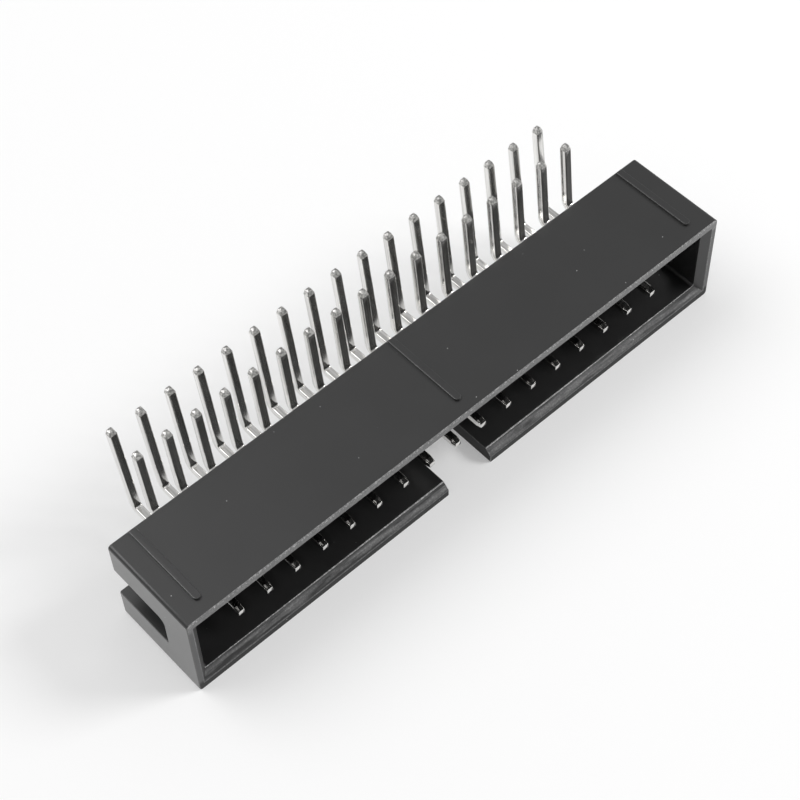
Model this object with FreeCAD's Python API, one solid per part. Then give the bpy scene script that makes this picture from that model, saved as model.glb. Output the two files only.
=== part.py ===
import FreeCAD, Part
import math
import os

from FreeCAD import Vector

# A two-row right-angle box header lying on its key side, with its solder legs pointing up.
# Millimetres. +X runs along the pin rows, -Y is the way the socket leaves, +Z points to the board.
# The origin is the middle of the whole part, seen from above, on the surface that it lies on.

# Pin field
pitch = 2.54
columns = 17
first_pin_to_end = 5.08

# Housing, outside
housing_height = 8.8
housing_depth = 8.5
corner_radius = 0.3
rear_edge_radius = 0.15

# Housing, socket cavity
long_wall = 1.25
end_wall = 1.0
floor_thickness = 2.1
mouth_chamfer = 0.55
cavity_corner_radius = 0.25
key_slot_width = 4.2

# Housing, slot in each end wall, open at the rear
end_slot_width = 3.0
end_slot_drop = 0.1
end_slot_length = 5.5
end_slot_reach = 2.0
end_slot_upper_radius = 0.6
end_slot_lower_radius = 0.2

# Housing, ribs that stand on the board
rib_width = 0.6
rib_length = 7.4
rib_height = 0.2
rib_to_end = 2.0

# Contacts, bent from square wire
wire = 0.64
wire_edge = 0.07
wire_clearance = 0.01
short_pin_recess = 1.5
long_pin_recess = 1.2
pin_tip_length = 0.5
pin_tip_flat = 0.48
leg_tip_length = 0.4
leg_tip_flat = 0.42
bend_inside_radius = 0.25
first_leg_row = 2.06
short_leg_above_housing = 3.1
long_leg_above_housing = 2.7
short_leg_lean = 5.6
long_leg_lean = 7.2

# Sizes worked out from the ones above
housing_length = (columns - 1) * pitch + 2 * first_pin_to_end
mid_height = housing_height / 2
lower_row_z = mid_height - pitch / 2
upper_row_z = mid_height + pitch / 2
cavity_length = housing_length - 2 * end_wall
cavity_height = housing_height - 2 * long_wall
bend_radius = bend_inside_radius + wire / 2

# Two corners that lie closer than this are at the same place
same_place = 1e-6

# How far the far row of legs reaches behind the housing, at the foot of its tapered tips
long_leg_turn = math.radians(long_leg_lean)
long_leg_rise = housing_height + long_leg_above_housing - lower_row_z
long_leg_straight = long_leg_rise / math.cos(long_leg_turn) - leg_tip_length
leg_reach = (first_leg_row + pitch + long_leg_straight * math.sin(long_leg_turn)
             + wire / 2 * math.cos(long_leg_turn))

mouth_y = -(housing_depth + leg_reach) / 2
rear_y = mouth_y + housing_depth
floor_y = rear_y - floor_thickness


def pin_x(column):
    return (column - (columns - 1) / 2) * pitch


def block(x_size, y_low, y_high, z_low, z_high, x_middle=0):
    corner = Vector(x_middle - x_size / 2, y_low, z_low)
    return Part.makeBox(x_size, y_high - y_low, z_high - z_low, corner)


def same(a, b):
    return abs(a - b) < same_place


def along_y(edge):
    first, last = [vertex.Point for vertex in edge.Vertexes]
    return same(first.x, last.x) and same(first.z, last.z)


def at_y(edge, y):
    return all(same(vertex.Point.y, y) for vertex in edge.Vertexes)


def at_z(edge, z):
    return all(same(vertex.Point.z, z) for vertex in edge.Vertexes)


def outer_block():
    body = block(housing_length, mouth_y, rear_y, 0, housing_height)
    body = body.makeFillet(corner_radius, [edge for edge in body.Edges if along_y(edge)])
    return body.makeFillet(rear_edge_radius, [edge for edge in body.Edges if at_y(edge, rear_y)])


def socket_cavity():
    cavity = block(cavity_length, mouth_y, floor_y, long_wall, housing_height - long_wall)
    return cavity.makeFillet(cavity_corner_radius, [edge for edge in cavity.Edges if along_y(edge)])


def rectangle(length, height, y):
    return [
        Vector(-length / 2, y, mid_height - height / 2),
        Vector(length / 2, y, mid_height - height / 2),
        Vector(length / 2, y, mid_height + height / 2),
        Vector(-length / 2, y, mid_height + height / 2),
    ]


def flat_sided_taper(wide, narrow):
    # A solid between two like outlines, each side of it one flat face.
    faces = [Part.Face(Part.makePolygon(outline + outline[:1])) for outline in (wide, narrow)]
    for i in range(len(wide)):
        j = (i + 1) % len(wide)
        side = Part.makePolygon([wide[i], wide[j], narrow[j], narrow[i], wide[i]])
        faces.append(Part.Face(side))
    return Part.makeSolid(Part.makeShell(faces))


def mouth_lead_in():
    # The cavity widens at the mouth by a chamfer that guides the socket in.
    outer = rectangle(cavity_length + 2 * mouth_chamfer, cavity_height + 2 * mouth_chamfer, mouth_y)
    inner = rectangle(cavity_length, cavity_height, mouth_y + mouth_chamfer)
    return flat_sided_taper(outer, inner)


def key_slot():
    # Open at the mouth and through the wall that the housing lies on.
    return block(key_slot_width, mouth_y, floor_y, 0, long_wall)


def end_slot(side):
    # Open at the rear, with round front corners.
    low = mid_height - end_slot_drop - end_slot_width / 2
    high = low + end_slot_width
    front_y = rear_y - end_slot_length
    x_middle = side * (housing_length / 2 - end_slot_reach / 2)
    slot = block(end_slot_reach, front_y, rear_y, low, high, x_middle)
    upper_corner = [edge for edge in slot.Edges if at_y(edge, front_y) and at_z(edge, high)]
    slot = slot.makeFillet(end_slot_upper_radius, upper_corner)
    lower_corner = [edge for edge in slot.Edges if at_y(edge, front_y) and at_z(edge, low)]
    return slot.makeFillet(end_slot_lower_radius, lower_corner)


def board_rib(x):
    # A low bar with a round front end, from the rear edge towards the mouth.
    front_y = rear_y - rib_length
    radius = rib_width / 2
    bar = block(rib_width, front_y + radius, rear_y - rear_edge_radius, mid_height,
                housing_height + rib_height, x)
    nose = Part.makeCylinder(radius, mid_height + rib_height, Vector(x, front_y + radius, mid_height))
    return bar.fuse(nose)


def pin_hole(x, z):
    size = wire + 2 * wire_clearance
    return block(size, floor_y, rear_y, z - size / 2, z + size / 2, x)


def make_housing():
    body = outer_block()
    rib_x = housing_length / 2 - rib_to_end
    body = body.fuse([board_rib(x) for x in (-rib_x, 0, rib_x)])
    cuts = [socket_cavity(), mouth_lead_in(), key_slot(), end_slot(-1), end_slot(1)]
    for column in range(columns):
        for row_z in (lower_row_z, upper_row_z):
            cuts.append(pin_hole(pin_x(column), row_z))
    return body.cut(cuts).removeSplitter()


def wire_section(width, edge, centre, across, up):
    # A square with slightly broken corners, in the plane of the two given directions.
    half = width / 2
    inner = half - edge
    outline = [
        (-inner, -half), (inner, -half), (half, -inner), (half, inner),
        (inner, half), (-inner, half), (-half, inner), (-half, -inner),
    ]
    return [centre + across * a + up * b for a, b in outline]


def wire_face(centre, across, up):
    outline = wire_section(wire, wire_edge, centre, across, up)
    return Part.Face(Part.makePolygon(outline + outline[:1]))


def tapered_tip(base, point, flat, across, up):
    wide = wire_section(wire, wire_edge, base, across, up)
    narrow = wire_section(flat, wire_edge * flat / wire, point, across, up)
    return flat_sided_taper(wide, narrow)


def make_contact(x, row_z, pin_recess, leg_y, lean, leg_tip_z):
    # The wire runs back from its tip in the cavity, turns up and ends in a solder leg.
    # leg_y is where the middle line of the leg, drawn down, meets the middle line of the pin.
    across = Vector(1, 0, 0)
    back = Vector(0, 1, 0)
    up = Vector(0, 0, 1)
    turn = 90 - lean
    leg_up = Vector(0, math.sin(math.radians(lean)), math.cos(math.radians(lean)))
    leg_back = Vector(0, math.cos(math.radians(lean)), -math.sin(math.radians(lean)))
    corner = Vector(x, leg_y, row_z)
    setback = bend_radius * math.tan(math.radians(turn / 2))
    bend_start = corner - back * setback
    bend_end = corner + leg_up * setback
    pin_tip = Vector(x, mouth_y + pin_recess, row_z)
    pin_base = pin_tip + back * pin_tip_length
    leg_tip = corner + leg_up * ((leg_tip_z - row_z) / leg_up.z)
    leg_base = leg_tip - leg_up * leg_tip_length

    pin = wire_face(pin_base, across, up).extrude(bend_start - pin_base)
    bend = wire_face(bend_start, across, up).revolve(bend_start + up * bend_radius, across, turn)
    leg = wire_face(bend_end, across, leg_back).extrude(leg_base - bend_end)
    pin_end = tapered_tip(pin_base, pin_tip, pin_tip_flat, across, up)
    leg_end = tapered_tip(leg_base, leg_tip, leg_tip_flat, across, leg_back)
    return pin.fuse([pin_end, bend, leg, leg_end]).removeSplitter()


def save(shape, node):
    shape.exportStep(os.path.join("parts", node + ".step"))


def short_contact(column):
    # From the row nearer the board, bent close behind the housing.
    x = pin_x(column)
    leg_y = rear_y + first_leg_row
    leg_tip_z = housing_height + short_leg_above_housing
    return make_contact(x, upper_row_z, short_pin_recess, leg_y, short_leg_lean, leg_tip_z)


def long_contact(column):
    # From the row further from the board, bent one pitch further back.
    x = pin_x(column)
    leg_y = rear_y + first_leg_row + pitch
    leg_tip_z = housing_height + long_leg_above_housing
    return make_contact(x, lower_row_z, long_pin_recess, leg_y, long_leg_lean, leg_tip_z)


os.makedirs("parts", exist_ok=True)
save(make_housing(), "housing")
for column in range(columns):
    save(short_contact(column), "short_contact_%02d" % (column + 1))
    save(long_contact(column), "long_contact_%02d" % (column + 1))
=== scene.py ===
# %% [markdown]
# A right-angle box header, dressed for its picture.
#
# The object is a long black moulded shell with an open, keyed mouth, and two rows of
# tin-plated contacts that leave its back and turn up into solder legs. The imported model
# is loaded as a fixed frame first. It is in metres, with the same origin and axes as here,
# so everything that is made below goes where the frame says.

# %% Load the frame
import math

import bmesh
import bpy
from mathutils import Matrix, Vector


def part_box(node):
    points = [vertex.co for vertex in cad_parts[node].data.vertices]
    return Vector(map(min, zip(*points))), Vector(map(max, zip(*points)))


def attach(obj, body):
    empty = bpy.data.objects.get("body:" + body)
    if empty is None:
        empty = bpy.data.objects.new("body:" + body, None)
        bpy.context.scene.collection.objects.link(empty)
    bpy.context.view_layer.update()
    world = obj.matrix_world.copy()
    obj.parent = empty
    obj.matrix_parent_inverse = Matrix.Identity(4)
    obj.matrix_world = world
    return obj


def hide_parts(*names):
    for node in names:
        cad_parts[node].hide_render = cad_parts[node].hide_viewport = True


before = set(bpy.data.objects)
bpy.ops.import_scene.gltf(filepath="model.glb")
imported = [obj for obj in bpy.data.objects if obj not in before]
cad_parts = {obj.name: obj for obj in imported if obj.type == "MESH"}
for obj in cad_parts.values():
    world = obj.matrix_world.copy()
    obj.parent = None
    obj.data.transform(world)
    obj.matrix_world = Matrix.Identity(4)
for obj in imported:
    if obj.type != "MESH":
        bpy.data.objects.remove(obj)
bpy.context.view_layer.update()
MM = 0.001
up = Vector((0, 0, 1))
print("nodes:", len(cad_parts))

# %% [markdown]
# The places that the rest of the script works from are read off the frame once: the shell's
# own faces, the pitch of the contacts and the thickness of their wire. Only what a box round
# a node can't tell, such as the width of the lead-in at the mouth, is written as a number.

# %% Measure the frame
shell_low, shell_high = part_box("housing")
first_low, first_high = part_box("short_contact_01")
second_low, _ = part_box("short_contact_02")

mouth_y = shell_low.y
rear_y = shell_high.y
half_length = shell_high.x
rib_height = 0.2 * MM
top_z = shell_high.z - rib_height
wire = first_high.x - first_low.x
pitch = second_low.x - first_low.x
columns = sum(name.startswith("short_contact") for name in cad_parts)
first_x = first_low.x + wire / 2
print("columns:", columns, "pitch mm:", round(pitch / MM, 3), "wire mm:", round(wire / MM, 3))

# %% [markdown]
# The camera comes first, because every later choice is judged through it. It looks down on
# the mouth from the left with a long lens, so that the rows stay almost parallel. Its place
# is given the way a photographer would say it: how far round, how high, how far away, and a
# small turn of the camera about its own line of sight.

# %% Camera
camera_round = math.radians(-40.25903)
camera_height = math.radians(54.37633)
camera_roll = math.radians(-2.44153)
camera_distance = 147.76561 * MM
aim_right = 0.57551 * MM
aim_up = 0.74045 * MM
sensor = 36.0
picture_width = 800
focal_length_in_pixels = 1962.0976

back = Vector((
    math.sin(camera_round) * math.cos(camera_height),
    -math.cos(camera_round) * math.cos(camera_height),
    math.sin(camera_height),
))
level_right = up.cross(back).normalized()
level_up = back.cross(level_right)
right = level_right * math.cos(camera_roll) + level_up * math.sin(camera_roll)
upward = level_up * math.cos(camera_roll) - level_right * math.sin(camera_roll)

camera_data = bpy.data.cameras.new("camera")
camera_data.sensor_width = sensor
camera_data.lens = focal_length_in_pixels / picture_width * sensor
camera_data.clip_start = 0.005
camera_data.clip_end = 10.0
camera = bpy.data.objects.new("camera", camera_data)
stand = Vector((0, rear_y, 0)) + back * camera_distance + right * aim_right + upward * aim_up
turned = Matrix((right, upward, back)).transposed().to_4x4()
camera.matrix_world = Matrix.Translation(stand) @ turned
bpy.context.scene.collection.objects.link(camera)
bpy.context.scene.camera = camera
print("lens mm:", round(camera_data.lens, 2))

# %% [markdown]
# Shader maths reads best as sums. A Value stands for one socket of a material, and adding,
# subtracting or multiplying Values adds the Math nodes that do it. A Finish is a material
# under construction, with one method that adds any other node: its settings first, then
# what its sockets hold or are linked to.

# %% A small language for materials
class Value:
    def __init__(self, finish, socket):
        self.finish = finish
        self.socket = socket

    def sum(self, operation, first, second):
        return self.finish.node("ShaderNodeMath", {"operation": operation}, {0: first, 1: second})

    def __add__(self, other):
        return self.sum("ADD", self, other)

    def __sub__(self, other):
        return self.sum("SUBTRACT", self, other)

    def __rsub__(self, other):
        return self.sum("SUBTRACT", other, self)

    def __mul__(self, other):
        return self.sum("MULTIPLY", self, other)

    __radd__ = __add__
    __rmul__ = __mul__


class Finish:
    def __init__(self, holder):
        holder.use_nodes = True
        self.holder = holder
        self.tree = holder.node_tree
        self.tree.nodes.clear()

    def node(self, kind, settings=None, sockets=None, out=0):
        node = self.tree.nodes.new(kind)
        for name, value in (settings or {}).items():
            if name == "stops":
                self.set_stops(node.color_ramp, value)
            else:
                setattr(node, name, value)
        for name, value in (sockets or {}).items():
            if isinstance(value, Value):
                self.tree.links.new(value.socket, node.inputs[name])
            else:
                node.inputs[name].default_value = value
        return Value(self, node.outputs[out]) if node.outputs else None

    def set_stops(self, ramp, stops):
        while len(ramp.elements) < len(stops):
            ramp.elements.new(1.0)
        for element, (position, grey) in zip(ramp.elements, stops):
            element.position = position
            element.color = (grey, grey, grey, 1.0)

    def place(self):
        return self.node("ShaderNodeTexCoord", out="Object")

    def attribute(self, name, out="Fac"):
        return self.node("ShaderNodeAttribute", {"attribute_name": name}, out=out)

    def part(self, vector, axis):
        return self.node("ShaderNodeSeparateXYZ", {}, {"Vector": vector}, out=axis)

    def stretched(self, vector, x, y, z):
        return self.node("ShaderNodeMapping", {}, {"Vector": vector, "Scale": (x, y, z)})

    def noise(self, vector, scale, detail=2.0, roughness=0.5):
        values = {"Vector": vector, "Scale": scale, "Detail": detail, "Roughness": roughness}
        return self.node("ShaderNodeTexNoise", {}, values, out="Fac")

    def cells(self, vector, scale):
        return self.node("ShaderNodeTexVoronoi", {}, {"Vector": vector, "Scale": scale}, out="Distance")

    def ramp(self, value, *stops):
        return self.node("ShaderNodeValToRGB", {"stops": stops}, {"Fac": value})

    def blend(self, factor, first, second):
        settings = {"data_type": "RGBA", "blend_type": "MIX"}
        sockets = {"Factor": factor, 6: first, 7: second}
        return self.node("ShaderNodeMix", settings, sockets, out=2)

    def bump(self, height, distance, strength=1.0):
        values = {"Height": height, "Distance": distance, "Strength": strength}
        return self.node("ShaderNodeBump", {}, values)

    def surface(self, **sockets):
        named = {name.replace("_", " "): value for name, value in sockets.items()}
        return self.done(self.node("ShaderNodeBsdfPrincipled", {}, named))

    def done(self, shader):
        self.node("ShaderNodeOutputMaterial", {}, {"Surface": shader})
        return self.holder


print("helpers ready")

# %% [markdown]
# The shell is one moulding in black glass-filled plastic. Such a surface isn't quite even:
# the mould leaves a grain finer than a hair, and flow leaves faint cloudy patches. The
# rounded edges are painted pale, partly as wear from handling and partly as a painted
# highlight where they would catch the light. A flat dark grey would look like rubber. So
# grain goes to bump, and patches go to colour and gloss. Where the surface differs, the mesh
# carries a mark that the finish reads: the rounded edges, the rim of the mouth, the slope
# that the socket rubs along, the dull sides of the key slot and the smoother ends. The slope
# gets pale streaks, partly rubbing wear and partly a painted sheen. Of the rim, the part over
# the cavity is painted paler as a painted reflection, with small burrs along its top edge,
# and the part below it is duller, so the height decides which it is.

# %% Black moulded plastic
lead_in_depth = 0.55 * MM
skin_dark = (0.006, 0.006, 0.0062, 1)
skin_light = (0.009, 0.009, 0.0092, 1)
# Pale grey for painted highlights, painted reflection and painted sheen, and for wear and dust.
wear_dust_and_highlight_grey = (0.6, 0.6, 0.6, 1)


def make_plastic():
    finish = Finish(bpy.data.materials.new("black_moulding"))
    place = finish.place()
    patches = finish.noise(place, 260.0, detail=3.0)
    grain = finish.noise(place, 9000.0, detail=2.0)
    nicks = finish.ramp(finish.noise(place, 7000.0, detail=4.0), (0.48, 0.0), (0.62, 1.0))
    dust = finish.ramp(finish.cells(place, 830.0), (0.02, 1.0), (0.035, 0.0))
    height = finish.part(place, "Z") * (1 / top_z)
    # Painted reflection: the rim over the cavity is painted paler than the rim below it.
    upper_rim = finish.attribute("rim") * finish.ramp(height, (0.87, 0.0), (0.91, 1.0))
    lower_rim = finish.attribute("rim") * finish.ramp(height, (0.09, 1.0), (0.13, 0.0))
    burrs = finish.ramp(finish.noise(place, 8000.0, detail=3.0), (0.56, 0.0), (0.62, 1.0))
    at_top_edge = finish.attribute("rim") * finish.ramp(height, (0.972, 0.0), (0.98, 1.0))
    # Painted highlight with some wear: rounded edges painted pale where they would catch the light,
    # broken up by nicks; burrs add pale specks.
    worn = finish.attribute("worn") * (0.4 + 0.6 * nicks) + upper_rim * (0.1 + 0.1 * nicks)
    worn = worn + 0.6 * burrs * at_top_edge

    # Painted sheen with some rubbing wear: a pale streaky band across the middle of the lead-in slope.
    inwards = (finish.part(place, "Y") - mouth_y) * (1 / lead_in_depth)
    rub_and_sheen_band = finish.ramp(inwards, (0.0, 0.3), (0.3, 0.8), (0.6, 1.0), (0.8, 0.4), (1.0, 0.1))
    streaks = finish.ramp(
        finish.noise(finish.stretched(place, 0.12, 1.0, 1.0), 3200.0, detail=4.0),
        (0.35, 0.0), (0.62, 1.0),
    )
    rubbed_and_sheen = finish.attribute("lead_in") * rub_and_sheen_band * streaks * (0.75 + 0.5 * nicks)
    dull = finish.attribute("dull") + lower_rim + finish.attribute("lead_in") * (0.6 - 0.6 * streaks)

    skin = finish.blend(patches, skin_dark, skin_light)
    # The pale grey mixed in here is painted highlight, painted reflection and painted sheen, together
    # with wear.
    skin_with_wear_and_highlights = finish.blend(worn + 0.29 * rubbed_and_sheen, skin, wear_dust_and_highlight_grey)
    return finish.surface(
        Base_Color=finish.blend(dust, skin_with_wear_and_highlights, wear_dust_and_highlight_grey),
        Roughness=0.36 + 0.1 * patches + 0.3 * dull,
        IOR=1.6,
        Coat_Weight=0.35 - 0.35 * dull + 0.45 * finish.attribute("polished"),
        Coat_Roughness=0.35,
        Coat_IOR=1.6,
        Sheen_Weight=0.08,
        Sheen_Roughness=0.35,
        Normal=finish.bump(grain, 0.004 * MM, 0.35),
    )


plastic = make_plastic()
print("finish:", plastic.name)

# %% [markdown]
# The contacts are brass wire, plated with bright tin. Drawing the wire through its die
# leaves fine lines along it, which follow it round the bend, and cropping it bruises the
# ends. So the mesh of a contact carries its own coordinates, across the wire and along it.
# The lines are a noise that is stretched along the wire in those, and the bruises are a
# second noise that only the cropped end of the leg shows.

# %% Bright tin
drawn_light = (0.92, 0.91, 0.89, 1)
drawn_dark = (0.62, 0.615, 0.6, 1)
cropped_light = (0.75, 0.74, 0.72, 1)
cropped_dark = (0.32, 0.32, 0.31, 1)


def make_tin():
    finish = Finish(bpy.data.materials.new("bright_tin"))
    run = finish.attribute("wire_run", "Vector")
    cropped = finish.attribute("cropped")
    lines = finish.noise(finish.stretched(run, 1.0, 1.0, 0.015), 9000.0, detail=3.0)
    bands = finish.noise(finish.stretched(run, 1.0, 1.0, 0.04), 3600.0, detail=2.0)
    clouds = finish.noise(run, 1500.0, detail=3.0)
    bruises = finish.noise(run, 6500.0, detail=4.0)
    drawn = finish.ramp(0.5 * bands + 0.5 * lines, (0.36, 0.0), (0.6, 1.0))
    bruised = finish.ramp(bruises, (0.4, 0.0), (0.62, 1.0))
    sides = finish.blend(drawn, drawn_dark, drawn_light)
    end = finish.blend(bruised, cropped_dark, cropped_light)
    return finish.surface(
        Base_Color=finish.blend(cropped, sides, end),
        Metallic=1.0,
        Roughness=0.06 + 0.1 * clouds + 0.25 * cropped,
        Normal=finish.bump(lines + cropped * bruises * 2.0, 0.012 * MM, 0.4),
    )


tin = make_tin()
print("finish:", tin.name)

# %% [markdown]
# The shell that the frame brings has exact faces, but its edges are knife-sharp, and no
# moulding comes out of a steel mould like that. A copy is welded and its flat faces joined,
# and every outside edge gets a radius of a few hundredths of a millimetre. The new narrow
# faces and the four kinds of large face that differ are marked for the finish. The square
# holes that the contacts pass through stay as they are, because the wire fills them.

# %% Round the shell's edges
edge_radius = 0.06 * MM
floor_thickness = 2.1 * MM
lower_wall = 1.25 * MM
near = 0.1 * MM


def in_floor(point):
    lowest_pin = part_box("long_contact_01")[0].z
    highest_pin = first_low.z + wire
    behind_cavity = point.y > rear_y - floor_thickness - near
    return behind_cavity and lowest_pin - near < point.z < highest_pin + near


def in_pin_field(edge):
    field = (columns - 1) / 2 * pitch + wire
    return all(abs(vert.co.x) < field and in_floor(vert.co) for vert in edge.verts)


def finished(bm, name, material, sharp_over=30.0):
    for face in bm.faces:
        face.smooth = True
    for edge in bm.edges:
        edge.smooth = edge.smooth and edge.calc_face_angle(0.0) < math.radians(sharp_over)
    mesh = bpy.data.meshes.new(name)
    bm.to_mesh(mesh)
    bm.free()
    mesh.materials.append(material)
    piece = bpy.data.objects.new(name, mesh)
    bpy.context.scene.collection.objects.link(piece)
    flat = piece.modifiers.new("flat_faces", "WEIGHTED_NORMAL")
    flat.keep_sharp = True
    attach(piece, "root")
    return piece


def on_rim(face):
    return face.normal.y < -0.99 and face.calc_center_median().y < mouth_y + 0.01 * MM


def edge_wear_and_highlight(face):
    # Painted highlight with some wear: the long edges of the mouth are palest, and the ribs are paler
    # on their left-facing edge, where light from the left would catch them.
    middle = face.calc_center_median()
    if middle.z > top_z + 0.02 * MM:
        return 0.16 if face.normal.x < -0.3 else 0.03
    if middle.y > mouth_y + lead_in_depth + near or abs(middle.x) > half_length - 2 * near:
        return 0.08
    if middle.z > top_z - 2 * near:
        return 0.5
    inner_edge = middle.y > mouth_y + lead_in_depth - near
    return 0.9 if inner_edge and middle.z < top_z / 2 else 0.2


def on_key_slot(face):
    middle = face.calc_center_median()
    return abs(face.normal.x) > 0.99 and abs(middle.x) < pitch and middle.z < lower_wall


def on_end(face):
    return abs(face.normal.x) > 0.99 and abs(face.calc_center_median().x) > half_length - 0.01 * MM


def on_lead_in(face):
    inner_y = mouth_y + lead_in_depth
    sloping = face.normal.y < -0.6 and face.normal.z > 0.6
    return sloping and all(vert.co.y < inner_y + 0.01 * MM for vert in face.verts)


def make_shell():
    bm = bmesh.new()
    bm.from_mesh(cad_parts["housing"].data)
    bmesh.ops.remove_doubles(bm, verts=bm.verts, dist=0.0001 * MM)
    bmesh.ops.dissolve_limit(
        bm, angle_limit=math.radians(0.5), use_dissolve_boundaries=False,
        verts=bm.verts, edges=bm.edges, delimit=set(),
    )
    worn = bm.faces.layers.float.new("worn")
    rim = bm.faces.layers.float.new("rim")
    lead_in = bm.faces.layers.float.new("lead_in")
    dull = bm.faces.layers.float.new("dull")
    polished = bm.faces.layers.float.new("polished")
    outside = [
        edge for edge in bm.edges
        if edge.calc_face_angle_signed() > math.radians(30) and not in_pin_field(edge)
    ]
    made = bmesh.ops.bevel(
        bm, geom=outside, offset=edge_radius, offset_type="OFFSET", segments=2, profile=0.5,
        affect="EDGES", clamp_overlap=False, material=-1,
    )
    for face in bm.faces:
        face[rim] = float(on_rim(face))
        face[lead_in] = float(on_lead_in(face))
        face[dull] = float(on_key_slot(face))
        face[polished] = float(on_end(face))
    # Painted highlight and wear on the rounded edges.
    for face in made["faces"]:
        face[worn] = edge_wear_and_highlight(face)
    print("shell edges rounded:", len(outside), "faces:", len(bm.faces))
    return finished(bm, "shell", plastic)


shell = make_shell()
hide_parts("housing")

# %% [markdown]
# A contact is one length of square wire. It is made the way the wire is: a square section
# with rounded corners is pushed along the pin, turned through the bend and pushed up the
# leg, and both ends are drawn in to a blunt point with a slight crown. A spin makes the
# bend, because it gives the same even arc as the forming tool. Each push leaves the face it
# started from inside the wire, where it would spoil the shading, so those are taken out.

# %% Bend the contacts
pin_tip_length = 0.5 * MM
pin_tip_flat = 0.48 * MM
leg_tip_length = 0.4 * MM
leg_tip_flat = 0.42 * MM
bend_inside_radius = 0.25 * MM
corner_rounding = 0.1 * MM
crown = 0.06 * MM
bend_steps = 14
pattern_step = 5 * MM
same_place = 0.001 * MM
leans = {"short": 5.6, "long": 7.2}


def pushed(bm, face, offset, shrink=1.0):
    made = bmesh.ops.extrude_face_region(bm, geom=[face])
    verts = [g for g in made["geom"] if isinstance(g, bmesh.types.BMVert)]
    bmesh.ops.translate(bm, verts=verts, vec=offset)
    end = next(g for g in made["geom"] if isinstance(g, bmesh.types.BMFace))
    centre = end.calc_center_median()
    bmesh.ops.scale(bm, verts=verts, vec=(shrink,) * 3, space=Matrix.Translation(-centre))
    return end


def wire_place(point, start_y, bend_centre, radius, turn):
    # Where a point of the wire lies: across it, towards the inside of its bend, and along it.
    offset = point - bend_centre
    angle = min(max(math.atan2(offset.y, -offset.z), 0.0), turn)
    outwards = Vector((0, math.sin(angle), -math.cos(angle)))
    onwards = Vector((0, math.cos(angle), math.sin(angle)))
    length = bend_centre.y - start_y + radius * angle + offset.dot(onwards)
    return Vector((offset.x, radius - offset.dot(outwards), length))


def mark_wire(bm, place_on_wire, whole_length, pattern):
    # Stores each corner's place on the wire, the creases at both ends and the cropped end.
    run = bm.verts.layers.float_vector.new("wire_run")
    cropped = bm.faces.layers.float.new("cropped")
    creases = (crown, pin_tip_length, whole_length - leg_tip_length, whole_length - crown)
    length = {vert: place_on_wire(vert.co).z for vert in bm.verts}

    def lies_at(edge, crease):
        return all(abs(length[vert] - crease) < same_place for vert in edge.verts)

    def meets_point(edge):
        ends = (same_place, whole_length - same_place)
        return any(length[vert] < ends[0] or length[vert] > ends[1] for vert in edge.verts)

    for vert in bm.verts:
        vert[run] = place_on_wire(vert.co) + Vector((pattern, 0, 0))
    for edge in bm.edges:
        edge.smooth = not meets_point(edge) and not any(lies_at(edge, crease) for crease in creases)
    for face in bm.faces:
        middle = sum(length[vert] for vert in face.verts) / len(face.verts)
        face[cropped] = float(middle > whole_length - leg_tip_length + same_place)


def make_contact(name, lean_degrees, pattern):
    low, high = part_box(name)
    lean = math.radians(lean_degrees)
    turn = math.pi / 2 - lean
    radius = bend_inside_radius + wire / 2
    setback = radius * math.tan(turn / 2)
    pin_z = low.z + wire / 2
    leg = Vector((0, math.sin(lean), math.cos(lean)))
    leg_length = (high.z - pin_z) / leg.z
    reach = (leg_length - leg_tip_length) * leg.y + wire / 2 * leg.z
    corner = Vector((low.x + wire / 2, high.y - reach, pin_z))

    facing_mouth = Matrix.Rotation(math.pi / 2, 4, "X")
    bm = bmesh.new()
    made = bmesh.ops.create_grid(
        bm, x_segments=1, y_segments=1, size=wire / 2,
        matrix=Matrix.Translation((corner.x, low.y + crown, pin_z)) @ facing_mouth,
    )
    bmesh.ops.bevel(
        bm, geom=made["verts"], offset=corner_rounding, offset_type="OFFSET", segments=3,
        profile=0.5, affect="VERTICES", material=-1,
    )
    end = bm.faces[:][0]
    middle = end.calc_center_median()
    tip_share = pin_tip_flat / wire
    bmesh.ops.scale(bm, verts=end.verts[:], vec=(tip_share,) * 3, space=Matrix.Translation(-middle))
    end = pushed(bm, end, Vector((0, pin_tip_length - crown, 0)), 1 / tip_share)
    end = pushed(bm, end, Vector((0, corner.y - setback - low.y - pin_tip_length, 0)))
    bend_centre = end.calc_center_median() + up * radius
    made = bmesh.ops.spin(
        bm, geom=[end], cent=bend_centre, axis=(1, 0, 0), angle=turn, steps=bend_steps,
        use_merge=False,
    )
    end = next(g for g in made["geom_last"] if isinstance(g, bmesh.types.BMFace))
    end = pushed(bm, end, leg * (leg_length - leg_tip_length - setback))
    pushed(bm, end, leg * (leg_tip_length - crown), leg_tip_flat / wire)
    left_inside = [face for face in bm.faces if all(len(edge.link_faces) > 2 for edge in face.edges)]
    bmesh.ops.delete(bm, geom=left_inside, context="FACES_ONLY")
    bmesh.ops.recalc_face_normals(bm, faces=bm.faces)
    ends = [face for face in bm.faces if len(face.verts) > 4]
    bmesh.ops.poke(bm, faces=ends, offset=crown)
    whole_length = bend_centre.y - low.y + radius * turn + leg_length - setback
    mark_wire(
        bm, lambda point: wire_place(point, low.y, bend_centre, radius, turn),
        whole_length, pattern,
    )
    return finished(bm, name + "_wire", tin, 50.0)


def make_contacts():
    for column in range(columns):
        for row, kind in enumerate(leans):
            node = "%s_contact_%02d" % (kind, column + 1)
            piece = make_contact(node, leans[kind], (2 * column + row) * pattern_step)
            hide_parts(node)


make_contacts()
print("contacts bent:", 2 * columns)

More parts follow.
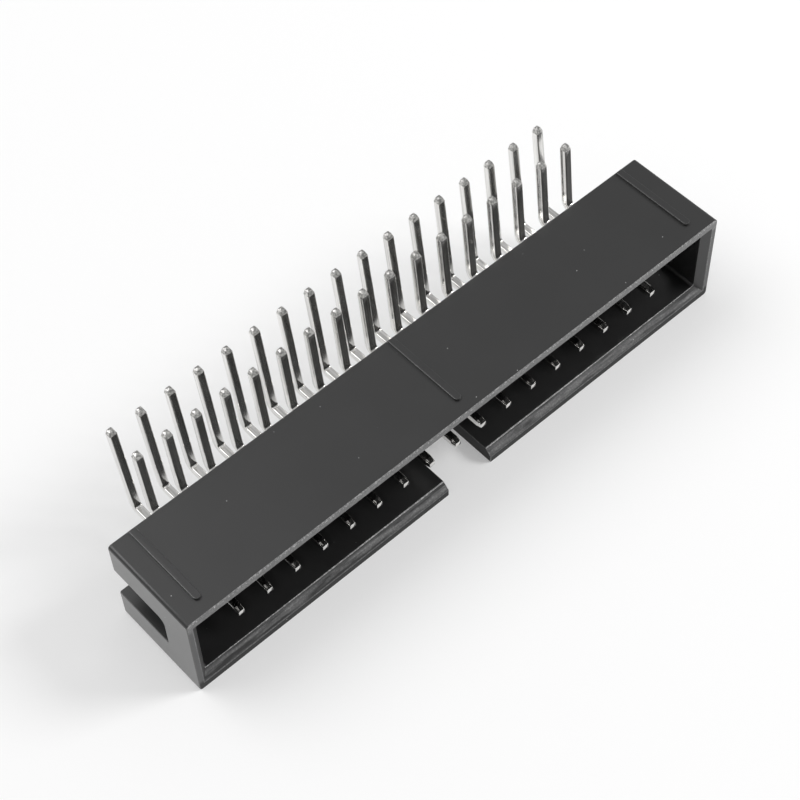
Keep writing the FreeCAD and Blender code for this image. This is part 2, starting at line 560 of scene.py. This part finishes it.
# %% [markdown]
# The stage is a pale floor, large enough to fill every view, under a white sky that is
# darker towards the horizon, as a room is round a light tent. That darker ring is what the
# metal needs to show its shape. One soft lamp at the front right gives the shadow in the key
# slot and the sheen on the sloping lip. It stands high, because a low one makes the black top
# shine white when it is seen from behind. A wider lamp high behind the part keeps the floor
# round it bright. The light is kept at the level at which
# a colour renders as it is written. To the camera and to shiny faces the floor gives some
# light of its own, so that it looks white while it still shows the part's shadow.

# %% Floor, sky and lamps
floor_reach = 1.5


def make_floor(own_light):
    bm = bmesh.new()
    bmesh.ops.create_grid(bm, x_segments=1, y_segments=1, size=floor_reach)
    mesh = bpy.data.meshes.new("floor")
    bm.to_mesh(mesh)
    bm.free()
    finish = Finish(bpy.data.materials.new("pale_floor"))
    matt = finish.node("ShaderNodeBsdfDiffuse", {}, {"Color": (0.93, 0.93, 0.93, 1)})
    glow = finish.node("ShaderNodeEmission", {}, {"Color": (1, 1, 1, 1), "Strength": 1.0})
    camera_ray = finish.node("ShaderNodeLightPath", out="Is Camera Ray")
    glossy_ray = finish.node("ShaderNodeLightPath", out="Is Glossy Ray")
    share = own_light * (camera_ray + glossy_ray)
    mixed = finish.node("ShaderNodeMixShader", {}, {0: share, 1: matt, 2: glow})
    mesh.materials.append(finish.done(mixed))
    floor = bpy.data.objects.new("floor", mesh)
    bpy.context.scene.collection.objects.link(floor)


def make_sky(horizon, overhead):
    finish = Finish(bpy.data.worlds.new("sky"))
    height = finish.part(finish.node("ShaderNodeTexCoord", out="Generated"), "Z")
    sky = finish.ramp(height, (0.0, horizon), (0.45, overhead))
    camera_ray = finish.node("ShaderNodeLightPath", out="Is Camera Ray")
    strength = camera_ray + (1.0 - camera_ray) * sky
    light = finish.node("ShaderNodeBackground", {}, {"Color": (1, 1, 1, 1), "Strength": strength})
    finish.node("ShaderNodeOutputWorld", {}, {"Surface": light})
    bpy.context.scene.world = finish.holder


def make_lamp(name, direction, distance, size, watts):
    lamp_data = bpy.data.lights.new(name, "AREA")
    lamp_data.shape = "DISK"
    lamp_data.size = size
    lamp_data.energy = watts
    lamp = bpy.data.objects.new(name, lamp_data)
    direction = Vector(direction).normalized()
    lamp.location = direction * distance
    lamp.rotation_mode = "QUATERNION"
    lamp.rotation_quaternion = direction.to_track_quat("Z", "Y")
    bpy.context.scene.collection.objects.link(lamp)


make_floor(own_light=0.28)
make_sky(horizon=0.22, overhead=0.5)
make_lamp("front", direction=(0.65, -0.42, 0.65), distance=0.5, size=0.2, watts=1.25)
make_lamp("back", direction=(-0.3, 0.5, 0.8), distance=0.5, size=0.4, watts=0.95)
bpy.context.scene.view_settings.view_transform = "Standard"
print("stage ready")
